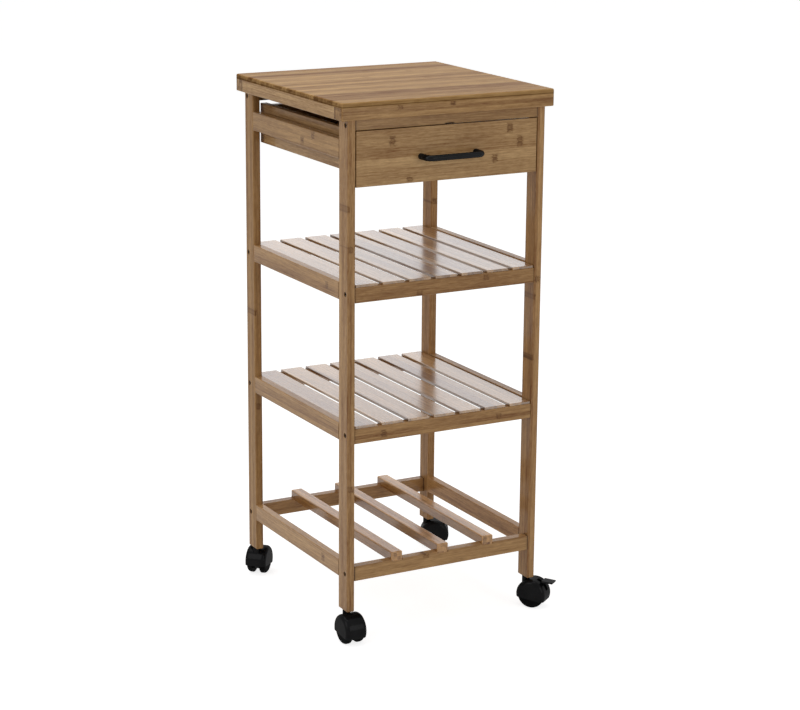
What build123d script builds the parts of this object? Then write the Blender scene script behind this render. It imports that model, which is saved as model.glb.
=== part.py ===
"""Kitchen trolley: bamboo worktop, drawer, two slatted shelves, a bottle rack and four twin-wheel
castors. Millimetres, +Z up, z = 0 on the floor, the drawer at the front (-Y).

Plan positions are written from the middle of the trolley. The turned castors and their brake levers
reach further right and forward than the frame does left and back, so every piece is moved by
FRAME_SHIFT when it is saved, and the row's origin is the middle of the box's floor."""
import os
from math import hypot

from build123d import *

os.makedirs("parts", exist_ok=True)

# Whole trolley
FRAME_SHIFT = (-13.0, 3.3, 0.0)
TOP = 850.0
CASTOR_H = 50.0
PLAN = 370.0

# Worktop
FIELD_T = 8.0
STRIP_T = 19.0
STRIP_W = 25.0
TOP_CORNER_R = 3.0
TOP_EDGE_R = 2.5
UNDER_TOP = TOP - FIELD_T - STRIP_T

# Legs: posts that are deeper than they are wide, given by their outer and inner faces
LEG_OUT_X = 172.0
LEG_IN_X = 159.0
LEG_OUT_Y = 180.0
LEG_IN_Y = 150.0
LEG_X = (LEG_OUT_X + LEG_IN_X) / 2
LEG_Y = (LEG_OUT_Y + LEG_IN_Y) / 2
LEG_EDGE_R = 2.0
LEG_FOOT_CHAMFER = 1.2

# Rails: across the front and back, and along the two sides
RAIL_OUT = 179.0
RAIL_IN = 164.0
SIDE_OUT = LEG_OUT_X
SIDE_IN = LEG_IN_X
RAIL_EDGE_R = 1.2
TOP_RAIL_Z = (807.0, UNDER_TOP)
BASE_RAIL_Z = (99.5, 123.5)
UPPER_SIDE_Z = (762.0, 792.0)
BASE_SIDE_Z = (102.0, 129.0)

# Shelves: top of the slats, with rails that stop level with them
SHELF_TOPS = {"shelf_1": 572.5, "shelf_2": 350.5}
SHELF_RAIL_H = 28.0
SLAT_T = 6.0
SLAT_W = 41.2
SLAT_COUNT = 7
SLAT_GAP = (2 * LEG_IN_X - SLAT_COUNT * SLAT_W) / (SLAT_COUNT - 1)
SLAT_END = 178.5
SIDE_ABOVE_SLATS = 1.5
SIDE_RAIL_H = 27.5

# Bottle rack
BAR_X = (-83.0, 0.0, 83.0)
BAR_W = 20.0
BAR_Z = (121.0, 136.0)
BAR_END = 178.5

# Drawer
DRAWER_FRONT_X = 157.7
DRAWER_FRONT_Y = (-179.5, -RAIL_IN)
DRAWER_FRONT_Z = (721.5, 805.8)
DRAWER_SIDE_X = (140.0, 152.0)
DRAWER_SIDE_Z = (740.0, 803.5)
DRAWER_REAR_Y = 163.0
DRAWER_BACK_TOP = 794.5
DRAWER_WALL = 12.0
DRAWER_FLOOR_Z = (748.0, 753.0)
FLOOR_LET_IN = 4.0
RUNNER_X = (146.5, SIDE_IN)
RUNNER_Z = (773.2, 782.8)
RUNNER_Y = 158.0
RUNNER_GROOVE_X = 146.0
RUNNER_GROOVE_Z = (773.0, 783.0)

# Handle
HANDLE_X = 48.0
HANDLE_Z = 761.0
HANDLE_BAR_Y = -204.0
HANDLE_R = 4.7
HANDLE_BEND_R = 10.0
SCREW_R = 2.0

# Bolts through the legs into the ends of the front and back rails
BOLT_Y = 171.5
BOLT_R = 2.5
BOLT_HEAD_R = 3.7
BOLT_HEAD_T = 3.6
BOLT_RECESS_R = 4.0
BOLT_SEAT = 167.0
BOLT_TIP = 129.0
BOLT_HOLE_R = BOLT_R + 0.02

# Castors
WHEEL_R = 22.5
WHEEL_IN = 6.6
WHEEL_OUT = 16.2
TRAIL = 14.0
HOOD_R = 25.0
HOOD_HALF_W = 18.2
HOOD_ROUND_R = 7.0
HOOD_BAY_R = 23.1
HOOD_BAY_OUT = 16.7
WEB_HALF_W = 6.2
WEB_R = 16.0
COLLAR_R = 6.0
COLLAR_TOP = 48.7
AXLE_R = 2.5
STEM_R = 3.2
STEM_Z = (32.0, 75.0)
SOCKET_BORE_R = STEM_R + 0.06
SOCKET_R = 4.5
SOCKET_TOP = 77.5
SOCKET_FLANGE_R = 6.0
SOCKET_FLANGE_T = 1.0
LEVER_HALF_W = 3.7
LEVER_SLOT_HALF_W = 4.0
LEVER_PIVOT = (12.0, 13.0)
LEVER_PIN_R = 1.5

# Castor name: corner (x sign, y sign), trail direction in plan, brake lever or not
CASTORS = {
    "front_left": ((-1, -1), (0.0, -1.0), False),
    "front_right": ((1, -1), (0.59, -0.81), True),
    "back_left": ((-1, 1), (0.70, 0.72), False),
    "back_right": ((1, 1), (0.875, -0.485), True),
}


def middle(span):
    return (span[0] + span[1]) / 2


def reach(span):
    return abs(span[1] - span[0])


def block(xs, ys, zs, mode=Mode.ADD):
    """A box between three pairs of limits, in the part being built."""
    with Locations((middle(xs), middle(ys), middle(zs))):
        Box(reach(xs), reach(ys), reach(zs), mode=mode)


def save(body, label):
    body.part.label = label
    placed = body.part.moved(Location(FRAME_SHIFT))
    placed.label = label
    export_step(placed, f"parts/{label}.step")


BOLT_HEIGHTS = (
    middle(TOP_RAIL_Z),
    SHELF_TOPS["shelf_1"] - SHELF_RAIL_H / 2,
    SHELF_TOPS["shelf_2"] - SHELF_RAIL_H / 2,
    middle(BASE_RAIL_Z),
)

# Worktop: an upper panel on a frame of four strips
half = PLAN / 2

with BuildPart() as top_panel:
    with BuildSketch(Plane.XY.offset(TOP - FIELD_T)):
        RectangleRounded(PLAN, PLAN, TOP_CORNER_R)
    extrude(amount=FIELD_T)
    fillet(top_panel.faces().sort_by(Axis.Z)[-1].edges(), radius=TOP_EDGE_R)
save(top_panel, "top_panel")

for side, sign in (("front", -1), ("back", 1)):
    with BuildPart() as strip:
        block((-half, half), (sign * (half - STRIP_W), sign * half), (UNDER_TOP, TOP - FIELD_T))
        outer_corners = strip.edges().filter_by(Axis.Z).group_by(Axis.Y)[0 if sign < 0 else -1]
        fillet(outer_corners, radius=TOP_CORNER_R)
        outer_face = strip.faces().filter_by(Axis.Y).sort_by(Axis.Y)[0 if sign < 0 else -1]
        fillet(outer_face.edges().group_by(Axis.Z)[0], radius=1.5)
    save(strip, f"top_strip_{side}")

for side, sign in (("left", -1), ("right", 1)):
    with BuildPart() as strip:
        block(
            (sign * (half - STRIP_W), sign * half),
            (-half + STRIP_W, half - STRIP_W),
            (UNDER_TOP, TOP - FIELD_T),
        )
        lower_edges = strip.edges().filter_by(Axis.Y).group_by(Axis.Z)[0]
        fillet(lower_edges.sort_by(Axis.X)[0 if sign < 0 else -1], radius=1.5)
    save(strip, f"top_strip_{side}")

# Legs, drilled for the bolts and for the castor sockets
for name, (corner, _, _) in CASTORS.items():
    x_sign, y_sign = corner
    with BuildPart() as leg:
        with BuildSketch(Plane.XY.offset(CASTOR_H)):
            with Locations((x_sign * LEG_X, y_sign * LEG_Y)):
                RectangleRounded(LEG_OUT_X - LEG_IN_X, LEG_OUT_Y - LEG_IN_Y, LEG_EDGE_R)
        extrude(amount=UNDER_TOP - CASTOR_H)
        chamfer(leg.faces().sort_by(Axis.Z)[0].edges(), length=LEG_FOOT_CHAMFER)
        for height in BOLT_HEIGHTS:
            drill = Plane(origin=(x_sign * LEG_OUT_X, y_sign * BOLT_Y, height), z_dir=(-x_sign, 0, 0))
            with BuildSketch(drill):
                Circle(BOLT_RECESS_R)
            extrude(amount=LEG_OUT_X - BOLT_SEAT, mode=Mode.SUBTRACT)
            with BuildSketch(drill):
                Circle(BOLT_HOLE_R)
            extrude(amount=LEG_OUT_X - LEG_IN_X, mode=Mode.SUBTRACT)
        with BuildSketch(Plane.XY.offset(CASTOR_H)):
            with Locations((x_sign * LEG_X, y_sign * LEG_Y)):
                Circle(SOCKET_R + 0.02)
        extrude(amount=SOCKET_TOP + 0.5 - CASTOR_H, mode=Mode.SUBTRACT)
    save(leg, f"leg_{name}")

# Front and back rails
def slat_span(index):
    start = -LEG_IN_X + index * (SLAT_W + SLAT_GAP)
    return (start, start + SLAT_W)


def cross_rail(sign, zs, seats, seat_depth):
    """A rail between two legs, with seats cut in its upper edge for slats or bars."""
    with BuildPart() as rail:
        block((-LEG_IN_X, LEG_IN_X), (sign * RAIL_IN, sign * RAIL_OUT), zs)
        fillet(rail.edges().filter_by(Axis.X), radius=RAIL_EDGE_R)
        for low, high in seats:
            span = (max(low, -LEG_IN_X), min(high, LEG_IN_X))
            block(span, (sign * RAIL_IN, sign * RAIL_OUT), (zs[1] - seat_depth, zs[1]), Mode.SUBTRACT)
        for end in (-1, 1):
            mouth = Plane(origin=(end * LEG_IN_X, sign * BOLT_Y, middle(zs)), z_dir=(-end, 0, 0))
            with BuildSketch(mouth):
                Circle(BOLT_HOLE_R)
            extrude(amount=LEG_IN_X - BOLT_TIP, mode=Mode.SUBTRACT)
    return rail


for side, sign in (("front", -1), ("back", 1)):
    with BuildPart() as top_rail:
        block((-LEG_IN_X, LEG_IN_X), (sign * RAIL_IN, sign * RAIL_OUT), TOP_RAIL_Z)
        fillet(top_rail.edges().filter_by(Axis.X).group_by(Axis.Z)[0], radius=RAIL_EDGE_R)
        if side == "front":
            notch_z = (TOP_RAIL_Z[0], TOP_RAIL_Z[0] + 2)
            block((-6, 10), (sign * RAIL_IN, sign * RAIL_OUT), notch_z, Mode.SUBTRACT)
        for end in (-1, 1):
            mouth = Plane(origin=(end * LEG_IN_X, sign * BOLT_Y, middle(TOP_RAIL_Z)), z_dir=(-end, 0, 0))
            with BuildSketch(mouth):
                Circle(BOLT_HOLE_R)
            extrude(amount=LEG_IN_X - BOLT_TIP, mode=Mode.SUBTRACT)
    save(top_rail, f"top_rail_{side}")

    for shelf, top in SHELF_TOPS.items():
        slat_seats = [slat_span(index) for index in range(SLAT_COUNT)]
        shelf_rail = cross_rail(sign, (top - SHELF_RAIL_H, top), slat_seats, SLAT_T)
        save(shelf_rail, f"{shelf}_rail_{side}")

    bar_seats = [(x - BAR_W / 2, x + BAR_W / 2) for x in BAR_X]
    base_rail = cross_rail(sign, BASE_RAIL_Z, bar_seats, BASE_RAIL_Z[1] - BAR_Z[0])
    save(base_rail, f"base_rail_{side}")

# Side rails and drawer runners
side_rails = {"upper_side_rail": UPPER_SIDE_Z, "base_rail": BASE_SIDE_Z}
for shelf, top in SHELF_TOPS.items():
    rail_top = top + SIDE_ABOVE_SLATS
    side_rails[f"{shelf}_rail"] = (rail_top - SIDE_RAIL_H, rail_top)

for side, sign in (("left", -1), ("right", 1)):
    for rail_name, zs in side_rails.items():
        with BuildPart() as side_rail:
            block((sign * SIDE_IN, sign * SIDE_OUT), (-LEG_IN_Y, LEG_IN_Y), zs)
            fillet(side_rail.edges().filter_by(Axis.Y), radius=RAIL_EDGE_R)
        save(side_rail, f"{rail_name}_{side}")

    with BuildPart() as runner:
        block((sign * RUNNER_X[0], sign * RUNNER_X[1]), (-RUNNER_Y, RUNNER_Y), RUNNER_Z)
        nose = runner.faces().filter_by(Axis.X).sort_by(Axis.X)[-1 if sign < 0 else 0]
        chamfer(nose.edges().filter_by(Axis.Z), length=4.0)
    save(runner, f"drawer_runner_{side}")

# Shelf slats
for shelf, top in SHELF_TOPS.items():
    with BuildPart() as slats:
        for index in range(SLAT_COUNT):
            block(slat_span(index), (-SLAT_END, SLAT_END), (top - SLAT_T, top))
        fillet(slats.edges().filter_by(Axis.Y).group_by(Axis.Z)[-1], radius=1.5)
    save(slats, f"{shelf}_slats")

# Bottle rack bars
for number, x in enumerate(BAR_X, start=1):
    with BuildPart() as bar:
        block((x - BAR_W / 2, x + BAR_W / 2), (-BAR_END, BAR_END), BAR_Z)
        fillet(bar.edges().filter_by(Axis.Y).group_by(Axis.Z)[-1], radius=2.0)
        fillet(bar.faces().sort_by(Axis.Z)[-1].edges().filter_by(Axis.X), radius=2.0)
    save(bar, f"bottle_bar_{number}")

# Frame bolts, one group of sixteen
with BuildPart() as frame_bolts:
    for height in BOLT_HEIGHTS:
        for x_sign in (-1, 1):
            for y_sign in (-1, 1):
                seat = Plane(
                    origin=(x_sign * BOLT_SEAT, y_sign * BOLT_Y, height),
                    x_dir=(0, 1, 0),
                    z_dir=(x_sign, 0, 0),
                )
                with BuildSketch(seat):
                    Circle(BOLT_HEAD_R)
                extrude(amount=BOLT_HEAD_T)
                with BuildSketch(seat):
                    Circle(BOLT_R)
                extrude(amount=-(BOLT_SEAT - BOLT_TIP))
                with BuildSketch(seat.offset(BOLT_HEAD_T)):
                    RegularPolygon(radius=2.3, side_count=6)
                extrude(amount=-2.2, mode=Mode.SUBTRACT)
save(frame_bolts, "frame_bolts")

# Drawer
with BuildPart() as drawer_front:
    block((-DRAWER_FRONT_X, DRAWER_FRONT_X), DRAWER_FRONT_Y, DRAWER_FRONT_Z)
    fillet(drawer_front.faces().sort_by(Axis.Y)[0].edges(), radius=1.0)
    block(
        (-DRAWER_SIDE_X[0] - FLOOR_LET_IN, DRAWER_SIDE_X[0] + FLOOR_LET_IN),
        (DRAWER_FRONT_Y[1] - FLOOR_LET_IN, DRAWER_FRONT_Y[1]),
        DRAWER_FLOOR_Z,
        Mode.SUBTRACT,
    )
    for x in (-HANDLE_X, HANDLE_X):
        with BuildSketch(Plane(origin=(x, DRAWER_FRONT_Y[0], HANDLE_Z), z_dir=(0, 1, 0))):
            Circle(SCREW_R + 0.1)
        extrude(amount=reach(DRAWER_FRONT_Y), mode=Mode.SUBTRACT)
save(drawer_front, "drawer_front")

for side, sign in (("left", -1), ("right", 1)):
    with BuildPart() as drawer_side:
        side_xs = (sign * DRAWER_SIDE_X[0], sign * DRAWER_SIDE_X[1])
        block(side_xs, (DRAWER_FRONT_Y[1], DRAWER_REAR_Y), DRAWER_SIDE_Z)
        fillet(drawer_side.edges().filter_by(Axis.Y).group_by(Axis.Z)[-1], radius=1.0)
        groove_xs = (sign * RUNNER_GROOVE_X, sign * DRAWER_SIDE_X[1])
        block(groove_xs, (-RUNNER_Y - 1.5, DRAWER_REAR_Y), RUNNER_GROOVE_Z, Mode.SUBTRACT)
        floor_xs = (sign * DRAWER_SIDE_X[0], sign * (DRAWER_SIDE_X[0] + FLOOR_LET_IN))
        floor_ys = (DRAWER_FRONT_Y[1], DRAWER_REAR_Y - DRAWER_WALL + FLOOR_LET_IN)
        block(floor_xs, floor_ys, DRAWER_FLOOR_Z, Mode.SUBTRACT)
    save(drawer_side, f"drawer_side_{side}")

with BuildPart() as drawer_back:
    back_ys = (DRAWER_REAR_Y - DRAWER_WALL, DRAWER_REAR_Y)
    block((-DRAWER_SIDE_X[0], DRAWER_SIDE_X[0]), back_ys, (DRAWER_SIDE_Z[0], DRAWER_BACK_TOP))
    fillet(drawer_back.edges().filter_by(Axis.X).group_by(Axis.Z)[-1], radius=1.0)
    groove_ys = (back_ys[0], back_ys[0] + FLOOR_LET_IN)
    block((-DRAWER_SIDE_X[0], DRAWER_SIDE_X[0]), groove_ys, DRAWER_FLOOR_Z, Mode.SUBTRACT)
save(drawer_back, "drawer_back")

with BuildPart() as drawer_floor:
    block(
        (-DRAWER_SIDE_X[0] - FLOOR_LET_IN, DRAWER_SIDE_X[0] + FLOOR_LET_IN),
        (DRAWER_FRONT_Y[1] - FLOOR_LET_IN, DRAWER_REAR_Y - DRAWER_WALL + FLOOR_LET_IN),
        DRAWER_FLOOR_Z,
    )
save(drawer_floor, "drawer_bottom")

with BuildPart() as handle:
    with BuildLine(Plane.XY.offset(HANDLE_Z)):
        FilletPolyline(
            (-HANDLE_X, DRAWER_FRONT_Y[0]),
            (-HANDLE_X, HANDLE_BAR_Y),
            (HANDLE_X, HANDLE_BAR_Y),
            (HANDLE_X, DRAWER_FRONT_Y[0]),
            radius=HANDLE_BEND_R,
        )
    with BuildSketch(Plane(origin=(-HANDLE_X, DRAWER_FRONT_Y[0], HANDLE_Z), z_dir=(0, -1, 0))):
        Circle(HANDLE_R)
    sweep()
    for x in (-HANDLE_X, HANDLE_X):
        with BuildSketch(Plane(origin=(x, DRAWER_FRONT_Y[0], HANDLE_Z), z_dir=(0, -1, 0))):
            Circle(SCREW_R)
        extrude(amount=11.0, mode=Mode.SUBTRACT)
save(handle, "drawer_handle")

with BuildPart() as handle_screws:
    for x in (-HANDLE_X, HANDLE_X):
        under_head = Plane(origin=(x, DRAWER_FRONT_Y[1], HANDLE_Z), z_dir=(0, 1, 0))
        with BuildSketch(under_head):
            Circle(4.0)
        extrude(amount=2.4)
        with BuildSketch(under_head):
            Circle(SCREW_R)
        extrude(amount=-(reach(DRAWER_FRONT_Y) + 10.5))
        with BuildSketch(under_head.offset(2.4)):
            Rectangle(5.0, 1.0)
            Rectangle(1.0, 5.0)
        extrude(amount=-1.2, mode=Mode.SUBTRACT)
save(handle_screws, "handle_screws")

# Castor sockets in the legs, one group of four
with BuildPart() as sockets:
    for corner, _, _ in CASTORS.values():
        where = (corner[0] * LEG_X, corner[1] * LEG_Y)
        with BuildSketch(Plane.XY.offset(CASTOR_H - SOCKET_FLANGE_T)):
            with Locations(where):
                Circle(SOCKET_FLANGE_R)
        extrude(amount=SOCKET_FLANGE_T)
        with BuildSketch(Plane.XY.offset(CASTOR_H)):
            with Locations(where):
                Circle(SOCKET_R)
        extrude(amount=SOCKET_TOP - CASTOR_H)
        with BuildSketch(Plane.XY.offset(CASTOR_H - SOCKET_FLANGE_T)):
            with Locations(where):
                Circle(SOCKET_BORE_R)
        extrude(amount=STEM_Z[1] + 1.0 - CASTOR_H + SOCKET_FLANGE_T, mode=Mode.SUBTRACT)
save(sockets, "caster_sockets")

# Castors: hood, stem and axle, two wheels, and a brake lever on two of them
for name, (corner, trail, has_brake) in CASTORS.items():
    scale = hypot(*trail)
    u = (trail[0] / scale, trail[1] / scale, 0.0)
    v = (-u[1], u[0], 0.0)
    stem_at = (corner[0] * LEG_X, corner[1] * LEG_Y)
    hub = (stem_at[0] + TRAIL * u[0], stem_at[1] + TRAIL * u[1], WHEEL_R)
    across = Plane(origin=hub, x_dir=v, z_dir=u)
    sideways = Plane(origin=hub, x_dir=u, z_dir=(u[1], -u[0], 0.0))
    axle_line = Axis(hub, v)

    with BuildPart() as hood:
        with BuildSketch(across) as shell_profile:
            with Locations((0, HOOD_R / 2)):
                Rectangle(2 * HOOD_HALF_W, HOOD_R)
            fillet(shell_profile.vertices().group_by(Axis.Y)[-1], radius=HOOD_ROUND_R)
        revolve(axis=axle_line)
        for wheel_side in (-1, 1):
            bay = (wheel_side * WEB_HALF_W, wheel_side * HOOD_BAY_OUT)
            with BuildSketch(across) as bay_profile:
                with Locations((middle(bay), HOOD_BAY_R / 2)):
                    Rectangle(reach(bay), HOOD_BAY_R)
                outer_corner = bay_profile.vertices().group_by(Axis.Y)[-1].sort_by(Axis.X)
                fillet(outer_corner[0 if wheel_side < 0 else -1], radius=HOOD_ROUND_R - 1.5)
            revolve(axis=axle_line, mode=Mode.SUBTRACT)
        with BuildSketch(sideways):
            with BuildLine():
                Polyline((-32, -4), (32, -11), (32, -32), (-32, -32), close=True)
            make_face()
        extrude(amount=HOOD_HALF_W + 3, both=True, mode=Mode.SUBTRACT)
        with BuildSketch(sideways):
            Circle(WEB_R)
        extrude(amount=WEB_HALF_W, both=True)
        with BuildSketch(Plane.XY.offset(30.0)):
            with Locations(stem_at):
                Circle(COLLAR_R)
        extrude(amount=COLLAR_TOP - 30.0)
        with BuildSketch(Plane.XY.offset(STEM_Z[0])):
            with Locations(stem_at):
                Circle(STEM_R)
        extrude(amount=COLLAR_TOP + 1 - STEM_Z[0], mode=Mode.SUBTRACT)
        with BuildSketch(sideways):
            Circle(AXLE_R)
        extrude(amount=WEB_HALF_W + 1, both=True, mode=Mode.SUBTRACT)
        if has_brake:
            with BuildSketch(sideways):
                with Locations((24, 24)):
                    Rectangle(34, 33)
            extrude(amount=LEVER_SLOT_HALF_W, both=True, mode=Mode.SUBTRACT)
            with BuildSketch(sideways):
                with Locations(LEVER_PIVOT):
                    Circle(LEVER_PIN_R)
            extrude(amount=WEB_HALF_W - 0.1, both=True, mode=Mode.SUBTRACT)
    save(hood, f"caster_{name}_hood")

    with BuildPart() as pins:
        with BuildSketch(Plane.XY.offset(STEM_Z[0])):
            with Locations(stem_at):
                Circle(STEM_R)
        extrude(amount=reach(STEM_Z))
        chamfer(pins.faces().sort_by(Axis.Z)[-1].edges(), length=1.0)
        with BuildSketch(sideways):
            Circle(AXLE_R)
        extrude(amount=WHEEL_OUT, both=True)
        if has_brake:
            with BuildSketch(sideways):
                with Locations(LEVER_PIVOT):
                    Circle(LEVER_PIN_R)
            extrude(amount=WEB_HALF_W - 0.1, both=True)
    save(pins, f"caster_{name}_pins")

    for wheel_name, wheel_side in (("left", 1), ("right", -1)):
        tread = (wheel_side * WHEEL_IN, wheel_side * WHEEL_OUT)
        bore_r = AXLE_R + 0.06
        with BuildPart() as wheel:
            with BuildSketch(across) as wheel_profile:
                with Locations((middle(tread), (WHEEL_R + bore_r) / 2)):
                    Rectangle(reach(tread), WHEEL_R - bore_r)
                rim = wheel_profile.vertices().group_by(Axis.Y)[-1].sort_by(Axis.X)
                fillet(rim[0 if wheel_side < 0 else -1], radius=5.0)
                inner_rim = wheel_profile.vertices().group_by(Axis.Y)[-1].sort_by(Axis.X)
                fillet(inner_rim[-1 if wheel_side < 0 else 0], radius=1.0)
            revolve(axis=axle_line)
        save(wheel, f"wheel_{name}_{wheel_name}")

    if has_brake:
        with BuildPart() as lever:
            with BuildSketch(sideways):
                with Locations(LEVER_PIVOT):
                    Circle(4.2)
                with BuildLine():
                    Polyline((8.7, 15.6), (17.2, 24.6), (25.0, 22.6), (15.7, 10.9), close=True)
                make_face()
            extrude(amount=LEVER_HALF_W, both=True)
            with BuildSketch(sideways):
                with BuildLine():
                    Polyline((17.0, 22.0), (35.5, 21.6), (36.0, 24.2), (17.0, 25.0), close=True)
                make_face()
            extrude(amount=8.0, both=True)
            with BuildSketch(sideways):
                with Locations(LEVER_PIVOT):
                    Circle(LEVER_PIN_R + 0.06)
            extrude(amount=LEVER_HALF_W + 1, both=True, mode=Mode.SUBTRACT)
        save(lever, f"brake_lever_{name}")
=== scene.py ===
"""Kitchen trolley: materials, floor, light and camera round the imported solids."""
import math

import bpy
from mathutils import Matrix, Vector


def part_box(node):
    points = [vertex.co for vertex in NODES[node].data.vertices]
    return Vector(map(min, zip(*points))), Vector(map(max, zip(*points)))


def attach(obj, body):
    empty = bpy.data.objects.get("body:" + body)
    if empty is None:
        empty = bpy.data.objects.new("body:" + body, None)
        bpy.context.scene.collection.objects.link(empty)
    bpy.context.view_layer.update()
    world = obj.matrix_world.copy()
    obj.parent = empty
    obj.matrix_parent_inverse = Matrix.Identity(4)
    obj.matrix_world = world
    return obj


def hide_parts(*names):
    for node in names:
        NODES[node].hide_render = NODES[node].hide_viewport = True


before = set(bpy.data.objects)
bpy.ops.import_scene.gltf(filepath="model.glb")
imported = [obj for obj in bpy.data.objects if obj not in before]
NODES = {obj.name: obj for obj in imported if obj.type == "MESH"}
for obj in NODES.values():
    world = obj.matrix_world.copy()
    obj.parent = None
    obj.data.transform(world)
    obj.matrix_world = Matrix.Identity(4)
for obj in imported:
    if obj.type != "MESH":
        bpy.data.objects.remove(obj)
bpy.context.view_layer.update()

MM = 0.001
SHIFT_X, SHIFT_Y = -13.0 * MM, 3.3 * MM     # the trolley's middle in the shared frame

scene = bpy.context.scene


# Shader graphs
class Graph:
    """Adds nodes to a shader tree. Each input is a plain value or another node's output."""

    def __init__(self, tree):
        self.nodes = tree.nodes
        self.links = tree.links

    def add(self, kind, inputs=None, **settings):
        node = self.nodes.new(kind)
        for key, value in settings.items():
            setattr(node, key, value)
        for key, value in (inputs or {}).items():
            self.put(node, key, value)
        return node

    def put(self, node, key, value):
        if isinstance(value, bpy.types.NodeSocket):
            self.links.new(value, node.inputs[key])
        else:
            node.inputs[key].default_value = value

    def calc(self, operation, a, b=None, clamp=False):
        node = self.add("ShaderNodeMath", {0: a}, operation=operation, use_clamp=clamp)
        if b is not None:
            self.put(node, 1, b)
        return node.outputs[0]

    def plus(self, a, b):
        return self.calc("ADD", a, b)

    def minus(self, a, b):
        return self.calc("SUBTRACT", a, b)

    def times(self, a, b):
        return self.calc("MULTIPLY", a, b)

    def over(self, a, b):
        return self.calc("DIVIDE", a, b)

    def size(self, a):
        return self.calc("ABSOLUTE", a)

    def whole(self, a):
        return self.calc("FLOOR", a)

    def fraction(self, a):
        return self.calc("FRACT", a)

    def vector(self, x=0.0, y=0.0, z=0.0):
        return self.add("ShaderNodeCombineXYZ", {0: x, 1: y, 2: z}).outputs[0]

    def split(self, vector):
        return self.add("ShaderNodeSeparateXYZ", {0: vector}).outputs

    def noise(self, vector, scale=1.0, detail=2.0, roughness=0.5, distortion=0.0):
        node = self.add("ShaderNodeTexNoise", {
            "Vector": vector, "Scale": scale, "Detail": detail,
            "Roughness": roughness, "Distortion": distortion,
        })
        return node.outputs["Fac"]

    def random(self, vector):
        """A random number and a random colour for each value of the vector."""
        node = self.add("ShaderNodeTexWhiteNoise", {"Vector": vector}, noise_dimensions="3D")
        return node.outputs["Value"], node.outputs["Color"]

    def remap(self, value, low, high, to_low=0.0, to_high=1.0, smooth=False):
        node = self.add("ShaderNodeMapRange", {0: value, 1: low, 2: high, 3: to_low, 4: to_high})
        node.clamp = True
        if smooth:
            node.interpolation_type = "SMOOTHSTEP"
        return node.outputs[0]

    def near(self, distance, width):
        """1 at distance 0, falling to 0 at the given width."""
        return self.remap(self.size(distance), 0.0, width, 1.0, 0.0, smooth=True)

    def mix(self, factor, a, b, blend="MIX"):
        node = self.add("ShaderNodeMix", {0: factor, 6: a, 7: b}, data_type="RGBA", blend_type=blend)
        return node.outputs[2]

    def stain(self, colour, where, strength, stain):
        return self.mix(self.times(where, strength), colour, stain)

    def bump(self, strength, distance, height):
        inputs = {"Strength": strength, "Distance": distance, "Height": height}
        return self.add("ShaderNodeBump", inputs).outputs[0]

    def surface(self, inputs):
        shader = self.add("ShaderNodeBsdfPrincipled", inputs)
        self.add("ShaderNodeOutputMaterial", {0: shader.outputs[0]})


def new_material(name):
    material = bpy.data.materials.new(name)
    material.use_nodes = True
    material.node_tree.nodes.clear()
    return material, Graph(material.node_tree)


def linear(r, g, b):
    def channel(value):
        value /= 255
        return value / 12.92 if value <= 0.04045 else ((value + 0.055) / 1.055) ** 2.4
    return (channel(r), channel(g), channel(b), 1.0)


# Bamboo
LIGHT_TONE = linear(219, 181, 130)
DARK_TONE = linear(130, 88, 47)
STRIP_GLUE = (0.17, 0.085, 0.018, 1.0)
PLANK_GLUE = (0.12, 0.055, 0.012, 1.0)
END_GLUE = (0.10, 0.05, 0.02, 1.0)
EDGE_GLUE = (0.07, 0.032, 0.010, 1.0)
END_DARK = (0.42, 0.36, 0.32, 1.0)
END_LIGHT = (0.80, 0.76, 0.72, 1.0)
MARK_CLOUD = (0.24, 0.11, 0.018, 1.0)
MARK_STROKE = (0.16, 0.064, 0.008, 1.0)
SPOT_CLOUD = (0.20, 0.088, 0.022, 1.0)
SPOT_STROKE = (0.115, 0.042, 0.009, 1.0)
# Painted shade near butted joints, and a painted shadow line in the gap at the joint
PAINTED_JOINT_SHADE = (0.10, 0.05, 0.018, 1.0)
PAINTED_JOINT_SHADOW_LINE = (0.035, 0.018, 0.008, 1.0)

# Random marks: height of a row, depth of a layer and length of one mark's place, in metres
MARK_ROW, MARK_LAYER, MARK_PLACE = 0.021, 0.012, 0.115


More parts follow.
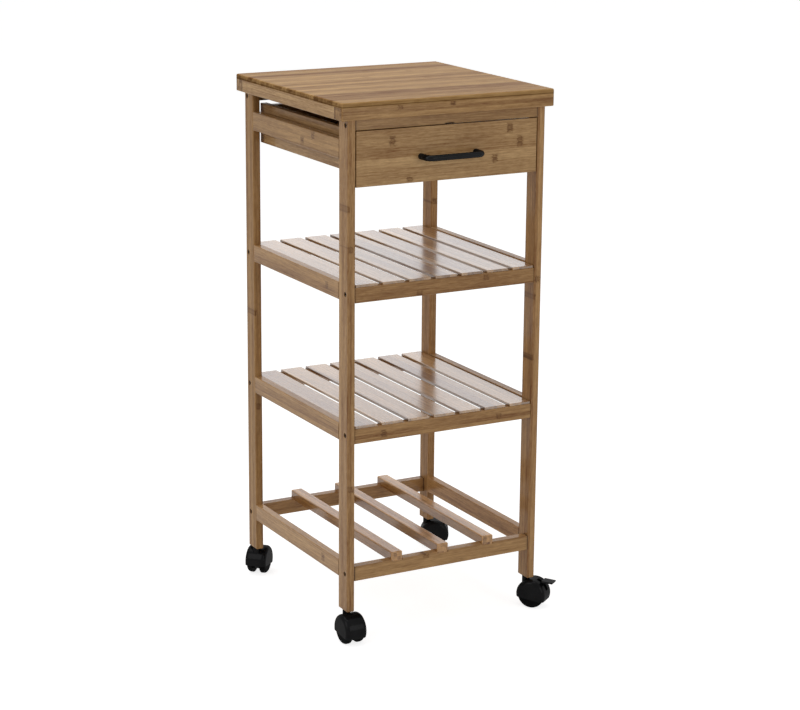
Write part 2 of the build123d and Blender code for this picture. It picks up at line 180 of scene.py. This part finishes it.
def make_bamboo_group():
    """Laminated bamboo. Vector runs along the grain, across the wide face and through the thickness."""
    tree = bpy.data.node_groups.new("laminated_bamboo", "ShaderNodeTree")
    for way, kind, names in (
        ("INPUT", "Vector", ("Vector",)),
        ("INPUT", "Float", ("End", "Seed", "Plank", "Strip", "Marks", "Contrast", "Fineness")),
        ("INPUT", "Color", ("Light", "Dark")),
        ("OUTPUT", "Color", ("Color",)),
        ("OUTPUT", "Float", ("Roughness", "Height")),
    ):
        for name in names:
            tree.interface.new_socket(name, in_out=way, socket_type=f"NodeSocket{kind}")
    g = Graph(tree)
    source = g.add("NodeGroupInput").outputs
    along, across, deep = g.split(source["Vector"])
    seed = source["Seed"]
    along = g.plus(along, g.times(seed, 1.7))

    # Strips and planks: a tone for each, and a fine glue line between
    sway = g.noise(g.vector(g.times(along, 3.0), seed), detail=1.0)
    sway = g.times(g.minus(sway, 0.5), 0.0012)
    strip_at = g.plus(g.over(g.plus(across, sway), source["Strip"]), g.times(seed, 3.31))
    layer_at = g.plus(g.over(deep, source["Strip"]), g.times(seed, 5.77))
    strip_tone, _ = g.random(g.vector(g.whole(strip_at), g.whole(layer_at), seed))
    plank_at = g.plus(g.over(across, source["Plank"]), seed)
    plank_tone, _ = g.random(g.vector(g.whole(plank_at), g.plus(seed, 9.0), 4.0))
    off_strip = g.size(g.minus(g.fraction(strip_at), 0.5))
    off_plank = g.size(g.minus(g.fraction(plank_at), 0.5))
    strip_line = g.remap(off_strip, 0.455, 0.5, smooth=True)
    plank_line = g.remap(off_plank, 0.478, 0.5, smooth=True)

    # Fibres: long streaks, finer streaks on them, and slow shading down the piece
    strip_shift = g.times(strip_tone, 37.0)
    run, wide, thick = (g.times(value, source["Fineness"]) for value in (along, across, deep))

    def fibres(length_rate, width_rate, detail, roughness, distortion=0.0, by_strip=True):
        across_at = g.times(wide, width_rate)
        if by_strip:
            across_at = g.plus(across_at, strip_shift)
        at = g.vector(g.times(run, length_rate), across_at, g.times(thick, width_rate))
        return g.noise(at, detail=detail, roughness=roughness, distortion=distortion)

    streak = fibres(13.0, 420.0, 3.0, 0.6, 0.3)
    grain = fibres(75.0, 380.0, 3.0, 0.62, 0.4)
    fine = fibres(55.0, 1300.0, 2.0, 0.65, by_strip=False)
    slow = fibres(6.0, 45.0, 2.0, 0.5, 0.4)

    # Knuckle marks: pairs of short strokes across three or four strips, each in a soft brown cloud
    row_at = g.plus(g.over(across, MARK_ROW), g.times(seed, 2.17))
    row = g.whole(row_at)
    layer = g.whole(g.over(deep, MARK_LAYER))
    row_shift, _ = g.random(g.vector(row, layer, g.plus(seed, 21.0)))
    place_at = g.plus(g.over(along, MARK_PLACE), g.times(row_shift, 7.0))
    chosen, shades = g.random(g.vector(g.whole(place_at), row, g.plus(seed, 33.0)))
    position = g.add("ShaderNodeSeparateColor", {0: shades}).outputs[0]
    centre = g.plus(g.times(position, 0.6), 0.2)
    off_mark = g.times(g.minus(g.fraction(place_at), centre), MARK_PLACE)
    off_mark = g.plus(off_mark, g.times(g.minus(fine, 0.5), 0.0016))
    off_mark = g.plus(off_mark, g.times(g.minus(strip_tone, 0.5), 0.0026))
    off_row = g.size(g.times(g.minus(g.fraction(row_at), 0.5), MARK_ROW))
    shown = g.remap(off_row, 0.0055, 0.0095, 1.0, 0.0, smooth=True)
    shown = g.times(shown, g.calc("LESS_THAN", chosen, source["Marks"]))
    strokes = g.near(g.minus(g.size(off_mark), 0.0034), 0.0014)
    strokes = g.times(strokes, g.remap(off_strip, 0.2, 0.5, 1.0, 0.35))
    strokes = g.times(strokes, shown)
    cloud = g.times(g.near(off_mark, 0.011), shown)

    # Side colour
    value = g.plus(g.times(streak, 0.42), g.times(slow, 0.26))
    value = g.plus(value, g.times(grain, 0.32))
    tones = g.plus(g.times(strip_tone, 0.30), g.times(plank_tone, 0.18))
    value = g.plus(value, g.times(g.minus(tones, 0.24), source["Contrast"]))
    side = g.mix(g.remap(value, 0.30, 0.70), source["Dark"], source["Light"])
    side = g.stain(side, g.remap(fine, 0.50, 0.72), 0.42, source["Dark"])
    side = g.stain(side, g.times(strip_line, strip_tone), 0.24, STRIP_GLUE)
    side = g.stain(side, plank_line, 0.62, PLANK_GLUE)
    side = g.stain(side, cloud, 0.24, MARK_CLOUD)
    side = g.stain(side, strokes, 0.42, MARK_STROKE)

    # End grain: dark fibre bundles in paler tissue, denser in some strips
    speck = g.noise(g.vector(across, deep, seed), 1100.0, roughness=0.6)
    blotch = g.noise(g.vector(across, deep, g.plus(seed, 5.0)), 150.0, roughness=0.55)
    end_value = g.plus(g.times(speck, 0.55), g.times(blotch, 0.6))
    end_value = g.plus(end_value, g.times(g.minus(strip_tone, 0.5), 0.30))
    end_dark = g.mix(1.0, source["Dark"], END_DARK, "MULTIPLY")
    end_light = g.mix(1.0, source["Light"], END_LIGHT, "MULTIPLY")
    end = g.mix(g.remap(end_value, 0.28, 0.88), end_dark, end_light)
    end = g.stain(end, plank_line, 0.5, END_GLUE)

    rough = g.plus(0.30, g.times(fine, 0.14))
    height = g.plus(g.times(grain, 0.6), g.times(fine, 0.4))
    dips = g.plus(g.times(strokes, 0.35), g.times(plank_line, 0.9))
    g.add("NodeGroupOutput", {
        "Color": g.mix(source["End"], side, end),
        "Roughness": g.plus(rough, g.times(source["End"], 0.15)),
        "Height": g.minus(height, dips),
    })
    return tree


BAMBOO = make_bamboo_group()


def add_spots(g, colour, along, across, spots):
    """Marks at given places: (along, across, height), two broken strokes in a soft brown cloud."""
    warp = g.noise(g.vector(g.times(along, 90.0), g.times(across, 330.0)), roughness=0.6)
    warp = g.times(g.minus(warp, 0.5), 0.011)
    rows = g.noise(g.vector(g.times(along, 60.0), g.times(across, 420.0), 9.0), detail=1.0)
    for place, level, height in spots:
        off = g.plus(g.minus(along, place), warp)
        rise = g.size(g.minus(g.minus(across, level), warp))
        inside = g.remap(rise, 0.30 * height, 0.56 * height, 1.0, 0.0, smooth=True)
        strokes = g.near(g.minus(g.size(off), 0.0033), 0.0023)
        rungs = g.times(g.remap(g.size(off), 0.0025, 0.0045, 1.0, 0.0), g.remap(rows, 0.50, 0.60))
        strokes = g.times(g.calc("MAXIMUM", strokes, rungs), inside)
        colour = g.stain(colour, g.times(g.near(off, 0.0088), inside), 0.55, SPOT_CLOUD)
        colour = g.stain(colour, strokes, g.remap(rows, 0.35, 0.65, 0.35, 0.75), SPOT_STROKE)
    return colour


def bamboo(
    name, order, seed,
    plank=0.5, strip=0.0062,        # widths of the planks and of the strips in them, in metres
    marks=0.16,                     # share of the places that carry a random mark
    tone=(1.0, 1.0, 1.0),
    contrast=0.5, fineness=1.0,     # of the strips, and of the fibres
    ripple=0.0002,                  # depth of the grain in the surface, in metres
    coat=0.4, gloss=0.14, coat_ior=1.5, specular=0.06,
    flank=1.0,                      # brightness of the sides across the wide face; below 1 paints shade on them
    joint=None,                     # both ends along the grain, and how dark the painted shade and shadow line at the joints there are
    glue=None,                      # height of a glue line
    spots=(),
):
    """order names the axes along the grain, across the wide face and through the thickness."""
    material, g = new_material(name)
    where = g.add("ShaderNodeTexCoord").outputs
    xyz, normal = g.split(where["Object"]), g.split(where["Normal"])
    grain_axis, face_axis, deep_axis = ("xyz".index(letter) for letter in order)
    along, across = xyz[grain_axis], xyz[face_axis]
    wood = g.add("ShaderNodeGroup", node_tree=BAMBOO)
    for key, value in {
        "Vector": g.vector(along, across, xyz[deep_axis]),
        "End": g.remap(g.size(normal[grain_axis]), 0.78, 0.92, smooth=True),
        "Seed": seed, "Plank": plank, "Strip": strip, "Marks": marks,
        "Contrast": contrast, "Fineness": fineness,
        "Light": tuple(a * b for a, b in zip(LIGHT_TONE, (*tone, 1.0))),
        "Dark": tuple(a * b for a, b in zip(DARK_TONE, (*tone, 1.0))),
    }.items():
        g.put(wood, key, value)
    colour = add_spots(g, wood.outputs["Color"], along, across, spots)
    # Painted shade on the sides across the wide face
    if flank < 1.0:
        shaded_sides = g.remap(g.size(normal[face_axis]), 0.80, 0.95)
        darker = g.mix(1.0, colour, (flank, flank * 0.9, flank * 0.75, 1.0), "MULTIPLY")
        colour = g.mix(shaded_sides, colour, darker)
    # Painted shade: a soft darkening near both ends along the grain, and a painted shadow line in the
    # joint gap
    if joint:
        low, high, strength = joint
        from_end = g.calc("MINIMUM", g.minus(along, low), g.minus(high, along))
        colour = g.mix(g.remap(from_end, 0.0, 0.007, 0.25 * strength, 0.0), colour, PAINTED_JOINT_SHADE)
        colour = g.mix(g.remap(from_end, 0.0008, 0.0024, strength, 0.0), colour, PAINTED_JOINT_SHADOW_LINE)
    if glue:
        colour = g.stain(colour, g.near(g.minus(xyz[2], glue), 0.0013), 0.7, EDGE_GLUE)
    g.surface({
        "Base Color": colour, "Roughness": wood.outputs["Roughness"],
        "Normal": g.bump(0.4, ripple, wood.outputs["Height"]),
        "Coat Weight": coat, "Coat Roughness": gloss, "Coat IOR": coat_ior,
        "IOR": 1.48, "Specular IOR Level": specular,
    })
    return material


# Plastic, painted metal and steel
def moulded(name, colour, roughness, coat, grain=900.0):
    """Black plastic or painted metal: a fine skin, uneven gloss and dust-pale high spots."""
    material, g = new_material(name)
    where = g.add("ShaderNodeTexCoord").outputs["Object"]
    skin = g.noise(where, grain, 3.0, 0.6)
    patch = g.noise(where, 45.0)
    paler = (*(c * 2.1 + 0.004 for c in colour), 1.0)
    g.surface({
        "Base Color": g.mix(g.remap(patch, 0.35, 0.75), (*colour, 1.0), paler),
        "Roughness": g.plus(roughness - 0.05, g.times(patch, 0.12)),
        "Normal": g.bump(0.4, 0.03 * MM, skin),
        "Coat Weight": coat, "Coat Roughness": 0.16, "Specular IOR Level": 0.0,
    })
    return material


def steel(name, colour, roughness):
    material, g = new_material(name)
    wear = g.noise(g.add("ShaderNodeTexCoord").outputs["Object"], 700.0, 3.0, 0.6)
    worn = (*(c * 0.6 for c in colour), 1.0)
    g.surface({
        "Base Color": g.mix(wear, worn, (*colour, 1.0)),
        "Roughness": g.plus(roughness, g.times(wear, 0.15)),
        "Normal": g.bump(0.3, 0.03 * MM, wear),
        "Metallic": 1.0,
    })
    return material


# Pieces that take the place of solids. Their sizes are in millimetres from the trolley's middle.
PIECES = {}
BOX_FACES = ((0, 2, 3, 1), (4, 5, 7, 6), (0, 1, 5, 4), (2, 6, 7, 3), (0, 4, 6, 2), (1, 3, 7, 5))


def piece(name, node, body, corners, faces, edge):
    """A piece with rounded edges, on the given body, in place of one node."""
    mesh = bpy.data.meshes.new(name)
    mesh.from_pydata([(x * MM + SHIFT_X, y * MM + SHIFT_Y, z * MM) for x, y, z in corners], [], faces)
    made = bpy.data.objects.new(name, mesh)
    scene.collection.objects.link(made)
    rounding = made.modifiers.new("edges", "BEVEL")
    rounding.width, rounding.segments, rounding.limit_method = edge * MM, 2, "ANGLE"
    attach(made, body)
    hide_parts(node)
    PIECES[node] = made


def boards(name, node, spans, edge):
    """Plain boards, each given by its limits along x, y and z."""
    corners, faces = [], []
    for xs, ys, zs in spans:
        first = len(corners)
        corners += [(x, y, z) for z in zs for y in ys for x in xs]
        faces += [[first + corner for corner in quad] for quad in BOX_FACES]
    piece(name, node, "frame", corners, faces, edge)


# Shelf slats and the rails under their ends: thinner and further apart than the solids have them
SHELF_TOPS = {"shelf_1": 572.5, "shelf_2": 350.5}
SLAT_PITCH, SLAT_W, SLAT_T, SLAT_END = 46.1333, 38.1, 4.2, 178.5
RAIL_IN, RAIL_OUT, RAIL_END, RAIL_H = 164.0, 179.0, 159.0, 28.0
for shelf, top in SHELF_TOPS.items():
    middles = [(index - 3) * SLAT_PITCH for index in range(7)]
    slats = [
        ((x - SLAT_W / 2, x + SLAT_W / 2), (-SLAT_END, SLAT_END), (top - SLAT_T, top))
        for x in middles
    ]
    boards(f"{shelf}_thin_slats", f"{shelf}_slats", slats, 0.9)
    for side, ys in (("front", (-RAIL_OUT, -RAIL_IN)), ("back", (RAIL_IN, RAIL_OUT))):
        span = ((-RAIL_END, RAIL_END), ys, (top - RAIL_H, top - SLAT_T))
        boards(f"{shelf}_plain_rail_{side}", f"{shelf}_rail_{side}", [span], 1.0)

# The drawer's back, higher than the solid has it, with the same groove for the bottom
BACK_TOP, BACK_FOOT, BACK_HALF_W = 801.0, 740.0, 140.0
BACK_IN, BACK_OUT = 151.0, 163.0
GROOVE_IN, GROOVE_LOW, GROOVE_HIGH = 155.0, 748.0, 753.0
outline = [
    (BACK_IN, BACK_FOOT), (BACK_OUT, BACK_FOOT), (BACK_OUT, BACK_TOP), (BACK_IN, BACK_TOP),
    (BACK_IN, GROOVE_HIGH), (GROOVE_IN, GROOVE_HIGH), (GROOVE_IN, GROOVE_LOW), (BACK_IN, GROOVE_LOW),
]
count = len(outline)
corners = [(x, y, z) for x in (-BACK_HALF_W, BACK_HALF_W) for y, z in outline]
faces = [list(range(count)), list(range(2 * count - 1, count - 1, -1))]
faces += [[k, k + count, (k + 1) % count + count, (k + 1) % count] for k in range(count)]
piece("drawer_high_back", "drawer_back", "drawer", corners, faces, 0.8)


# Dressing
def dress(node, material):
    mesh = PIECES.get(node, NODES[node]).data
    mesh.materials.clear()
    mesh.materials.append(material)


def clad(node, order, seed, joint_shade_strength=0.0, spots=(), **look):
    """Bamboo on one node. The joint shade strength sets how dark the painted shade and shadow line at
    its end joints are, and spots are in millimetres.
    """
    grain, face = ("xyz".index(letter) for letter in order[:2])
    shift = (SHIFT_X, SHIFT_Y, 0.0)
    look["spots"] = [
        (place * MM + shift[grain], level * MM + shift[face], height * MM)
        for place, level, height in spots
    ]
    if joint_shade_strength:
        low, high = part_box(node)
        look["joint"] = (float(low[grain]), float(high[grain]), joint_shade_strength)
    dress(node, bamboo(f"bamboo_{node}", order, seed, **look))


# Axes along the grain, across the wide face and through the thickness
FLAT_X, FLAT_Y, EDGE_X, EDGE_Y, UPRIGHT = "xyz", "yxz", "xzy", "yzx", "zxy"

# Worktop, upper rails and drawer
clad("top_panel", FLAT_X, 1.75, plank=0.0462, strip=0.0154, marks=0.08, coat=0.0, specular=0.01,
     contrast=0.65, fineness=0.55, tone=(0.86, 0.81, 0.70), glue=0.8436)
clad("top_strip_front", EDGE_X, 2.1, marks=0.0, coat=0.25, tone=(0.81, 0.74, 0.64),
     spots=((-86, 838, 9), (4, 840, 8)))
clad("top_strip_back", EDGE_X, 2.7, coat=0.25)
clad("top_strip_left", EDGE_Y, 3.2, marks=0.0, coat=0.25, tone=(0.94, 0.92, 0.86))
clad("top_strip_right", EDGE_Y, 3.9, coat=0.25)
# Painted shade: the front top rail's darker tone stands in for the shade under the worktop's front
# strip.
clad("top_rail_front", EDGE_X, 4.4, marks=0.08, joint_shade_strength=0.6, tone=(0.76, 0.70, 0.60))
clad("top_rail_back", EDGE_X, 4.9, joint_shade_strength=0.3)
# Painted shade: the left upper side rail's darker tone stands in for the worktop's shadow.
clad("upper_side_rail_left", EDGE_Y, 5.3, marks=0.0, coat=0.3, tone=(0.76, 0.69, 0.58),
     spots=((-64, 785, 14), (-27, 772, 14)))
clad("upper_side_rail_right", EDGE_Y, 5.8)
clad("drawer_runner_left", EDGE_Y, 6.1)
clad("drawer_runner_right", EDGE_Y, 6.5)
clad("drawer_front", EDGE_X, 7.2, marks=0.0, coat=0.2, strip=0.0165, contrast=0.4,
     spots=((-97, 788, 18), (109, 793, 17), (127, 771, 18), (83, 748, 15), (-66, 727, 9)))
clad("drawer_side_left", EDGE_Y, 7.7, coat=0.25)
clad("drawer_side_right", EDGE_Y, 8.1, coat=0.25)
clad("drawer_back", EDGE_X, 8.6, coat=0.25)
clad("drawer_bottom", FLAT_X, 9.1, strip=0.02, coat=0.25)

# Legs: tone, coat and marks
LEGS = {
    "front_left": ((0.98, 0.93, 0.84), 0.3, ((628, -167, 9), (251, -167, 9), (690, -172, 6))),
    # The front-right leg's darker, redder tone is partly painted shade on its inner face.
    "front_right": ((0.90, 0.82, 0.72), 0.3, ((550, 164, 11), (522, 159, 7), (423, 159, 7))),
    "back_left": ((0.74, 0.66, 0.54), 0.18, ((461, -172, 8), (300, -166, 9))),
    "back_right": ((0.94, 0.86, 0.74), 0.2, ((618, 165, 12), (330, 164, 10))),
}
for index, (corner, (tone, coat, spots)) in enumerate(LEGS.items()):
    clad(f"leg_{corner}", UPRIGHT, 10.2 + 0.7 * index, strip=0.0075, marks=0.0,
         coat=coat, tone=tone, spots=spots)

# Shelf and base rails, and what differs from the plain ones
RAILS = {
    "shelf_1_left": dict(tone=(0.84, 0.76, 0.65), spots=((-110, 561, 12),)),
    "shelf_1_front": dict(spots=((71, 562, 11), (-47, 549, 9))),
    "shelf_2_front": dict(spots=((99, 334, 9), (-108, 333, 12))),
    "base_left": dict(spots=((-97, 116, 15),)),
    "base_front": dict(tone=(0.82, 0.75, 0.66), spots=((-31, 121, 8),)),
    "base_right": dict(tone=(1.12, 1.02, 0.88)),
}
for index, shelf in enumerate(("shelf_1", "shelf_2", "base")):
    for turn, side in enumerate(("front", "back", "left", "right")):
        look = dict(
            tone=(0.88, 0.81, 0.71),
            coat=0.28 if side in ("front", "right") else 0.38,
            marks=0.0 if side in ("front", "left") else 0.12,
        )
        look.update(RAILS.get(f"{shelf}_{side}", {}))
        seed = 14.3 + 2.3 * index + 0.5 * turn
        if side in ("front", "back"):
            # Front and back rails get painted shade and a painted shadow line at their end joints,
            # strongest on the base
            clad(f"{shelf}_rail_{side}", EDGE_X, seed, joint_shade_strength=0.8 if shelf == "base" else 0.3, **look)
        else:
            clad(f"{shelf}_rail_{side}", EDGE_Y, seed, **look)

# Slats and bottle bars, under a thicker varnish; their sides are darkened as painted shade, the slats'
# in the gaps between them
for index, shelf in enumerate(SHELF_TOPS):
    clad(f"{shelf}_slats", FLAT_Y, 22.7818 + index, plank=SLAT_PITCH * MM, strip=0.0155, marks=0.14,
         coat=1.0, gloss=0.20, coat_ior=1.9 + 0.15 * index, contrast=0.8, ripple=0.0014, flank=0.5,
         tone=(1.08, 1.02, 0.96))
# The bars' pale tone is a painted highlight for the light on their tops; their darker sides are painted
# shade.
for number in (1, 2, 3):
    clad(f"bottle_bar_{number}", FLAT_Y, 25.4 + number, coat=0.75, gloss=0.15, coat_ior=1.6,
         ripple=0.0005, flank=0.55, tone=(1.36, 1.22, 1.02))

# Castors, handle and fasteners, by what the nodes' names contain
OTHERS = {
    moulded("hood_plastic", (0.002, 0.002, 0.0023), 0.30, 0.16): ("_hood", "caster_sockets"),
    moulded("wheel_plastic", (0.002, 0.002, 0.0022), 0.45, 0.06): ("wheel_",),
    moulded("lever_plastic", (0.003, 0.003, 0.0033), 0.35, 0.2): ("brake_lever",),
    moulded("handle_black", (0.003, 0.0032, 0.0036), 0.32, 0.25, grain=1400.0): ("drawer_handle",),
    steel("bolt_steel", (0.16, 0.14, 0.13), 0.38): ("frame_bolts", "handle_screws"),
    steel("pin_steel", (0.42, 0.42, 0.43), 0.28): ("_pins",),
}
for material, words in OTHERS.items():
    for node in NODES:
        if any(word in node for word in words):
            dress(node, material)


# World and floor: pure white to the eye and in reflections, dimmer as a source of light
def seen_directly(g):
    """1 for camera, glossy and transmission rays."""
    path = g.add("ShaderNodeLightPath").outputs
    direct = g.calc("ADD", path["Is Camera Ray"], path["Is Glossy Ray"], clamp=True)
    return g.calc("ADD", direct, path["Is Transmission Ray"], clamp=True)


world = bpy.data.worlds.new("studio")
scene.world = world
world.use_nodes = True
world.node_tree.nodes.clear()
g = Graph(world.node_tree)
ambient = g.add("ShaderNodeBackground", {"Color": (1.0, 0.99, 0.98, 1.0), "Strength": 0.34})
white = g.add("ShaderNodeBackground", {"Color": (1.0, 1.0, 1.0, 1.0), "Strength": 1.0})
mixed = g.add("ShaderNodeMixShader", {0: seen_directly(g), 1: ambient.outputs[0], 2: white.outputs[0]})
g.add("ShaderNodeOutputWorld", {0: mixed.outputs[0]})

FLOOR_HALF = 30.0
floor_mesh = bpy.data.meshes.new("floor")
floor_corners = [(x * FLOOR_HALF, y * FLOOR_HALF, 0) for x, y in ((-1, -1), (1, -1), (1, 1), (-1, 1))]
floor_mesh.from_pydata(floor_corners, [], [(0, 1, 2, 3)])
floor = bpy.data.objects.new("floor", floor_mesh)
scene.collection.objects.link(floor)
floor_material, g = new_material("floor_white")
plain = g.add("ShaderNodeBsdfDiffuse", {"Color": (0.72, 0.72, 0.72, 1.0)})
lit = g.add("ShaderNodeBsdfDiffuse", {"Color": (0.60, 0.60, 0.60, 1.0)})
glow = g.add("ShaderNodeEmission", {"Color": (1.0, 1.0, 1.0, 1.0), "Strength": 0.80})
both = g.add("ShaderNodeAddShader", {0: lit.outputs[0], 1: glow.outputs[0]})
mixed = g.add("ShaderNodeMixShader", {0: seen_directly(g), 1: plain.outputs[0], 2: both.outputs[0]})
g.add("ShaderNodeOutputMaterial", {0: mixed.outputs[0]})
floor_mesh.materials.append(floor_material)


# Lamps: soft panels aimed at the trolley's middle
def lamp(name, place, size, power, colour=(1.0, 1.0, 1.0)):
    data = bpy.data.lights.new(name, "AREA")
    data.shape = "RECTANGLE"
    data.size, data.size_y = size
    data.energy = power
    data.color = colour
    light = bpy.data.objects.new(name, data)
    scene.collection.objects.link(light)
    light.location = place
    aim = Vector((SHIFT_X, SHIFT_Y, 0.45)) - Vector(place)
    light.rotation_euler = aim.to_track_quat("-Z", "Y").to_euler()


lamp("overhead", (-0.2, 0.4, 2.7), (2.2, 2.2), 20.0)
lamp("left_key", (-2.5, -0.5, 1.7), (1.4, 2.0), 15.0)
lamp("front_fill", (0.6, -3.0, 1.2), (1.8, 1.8), 15.0)
lamp("back_glow", (1.9, 3.4, 1.5), (3.0, 1.6), 6.0, (0.94, 0.94, 1.0))

# Camera: fitted to the photograph's corners, without shift
PICTURE_W, SENSOR_W = 800, 36.0
FOCAL_PX = 2235.72
YAW, PITCH, ROLL = (math.radians(angle) for angle in (28.937, -14.705, 0.467))
CAMERA_AT = Vector((-1686.61, -3083.53, 1326.19)) * MM + Vector((SHIFT_X, SHIFT_Y, 0.0))
forward = Vector((math.sin(YAW) * math.cos(PITCH), math.cos(YAW) * math.cos(PITCH), math.sin(PITCH)))
right = Vector((math.cos(YAW), -math.sin(YAW), 0.0))
up = right.cross(forward)
tilted_right = math.cos(ROLL) * right + math.sin(ROLL) * up
tilted_up = -math.sin(ROLL) * right + math.cos(ROLL) * up
camera_data = bpy.data.cameras.new("camera")
camera_data.sensor_width = SENSOR_W
camera_data.lens = FOCAL_PX / PICTURE_W * SENSOR_W
camera_data.clip_start, camera_data.clip_end = 0.05, 200.0
camera = bpy.data.objects.new("camera", camera_data)
scene.collection.objects.link(camera)
turn = Matrix((tilted_right, tilted_up, -forward)).transposed().to_4x4()
camera.matrix_world = Matrix.Translation(CAMERA_AT) @ turn
scene.camera = camera
scene.view_settings.view_transform = "Standard"
